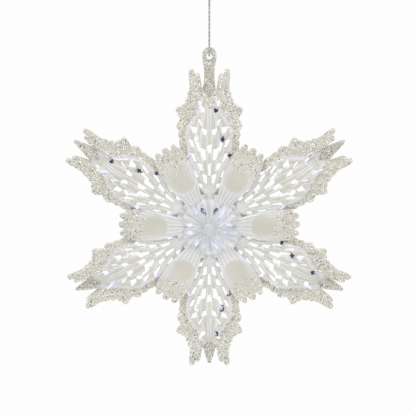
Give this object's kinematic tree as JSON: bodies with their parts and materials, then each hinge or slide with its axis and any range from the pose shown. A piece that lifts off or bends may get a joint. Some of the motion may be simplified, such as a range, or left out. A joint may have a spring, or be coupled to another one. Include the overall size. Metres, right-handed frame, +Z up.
{
  "type": "hanging snowflake ornament",
  "caption": "Clear moulded snowflake with feathered lace arms, a smaller lobed star and a petalled centre in front, glitter on its margins, on a doubled cord.",
  "frame": {"origin": "where a hook bears on the inside of the cord's eye, above the star", "axes": "+Z up along the taut hanging cord, -Y forwards to the side that the star's domed face looks to, +X to the right seen from the front. The star leans back 10.1 degrees below its hole, as its weight makes it hang"},
  "size_m": [0.142, 0.0404, 0.2025],
  "materials": {
    "clear_star": "clear moulded acrylic, glossy, faintly warm",
    "clear_lobes": "clear moulded acrylic, glossy, finely ribbed",
    "clear_flower": "clear moulded acrylic, polished",
    "clear_cap": "clear moulded acrylic, satin",
    "glitter": "fine silver-white glitter flakes in clear glue",
    "cord": "twisted two-ply cord with a silvery thread"
  },
  "bodies": {
    "hanger": {"cord_eye": "cord"},
    "knot": {"cord_knot": "cord"},
    "cord": {"hang_cord": "cord"},
    "star": {"main_star": "clear_star", "small_star": "clear_lobes", "centre_flower": "clear_flower", "back_cap": "clear_cap", "glitter_tab": "glitter", "glitter_arm_1": "glitter", "glitter_arm_2": "glitter", "glitter_arm_3": "glitter", "glitter_arm_4": "glitter", "glitter_arm_5": "glitter", "glitter_arm_6": "glitter", "glitter_lobe_1": "glitter", "glitter_lobe_2": "glitter", "glitter_lobe_3": "glitter", "glitter_lobe_4": "glitter", "glitter_lobe_5": "glitter", "glitter_lobe_6": "glitter"}
  },
  "joints": [
    {"name": "cord_sway", "type": "hinge", "parent": "hanger", "child": "knot", "pos_m": [0, 0, -0.00855], "axis": [1, 0, 0], "range_deg": [-35, 35]},
    {"name": "cord_twist", "type": "hinge", "parent": "knot", "child": "cord", "pos_m": [0, 0, -0.013], "axis": [0, 0, 1], "continuous": true},
    {"name": "star_swing", "type": "hinge", "parent": "cord", "child": "star", "pos_m": [0, 0, -0.04405], "axis": [0, 1, 0], "range_deg": [-40, 40]}
  ]
}
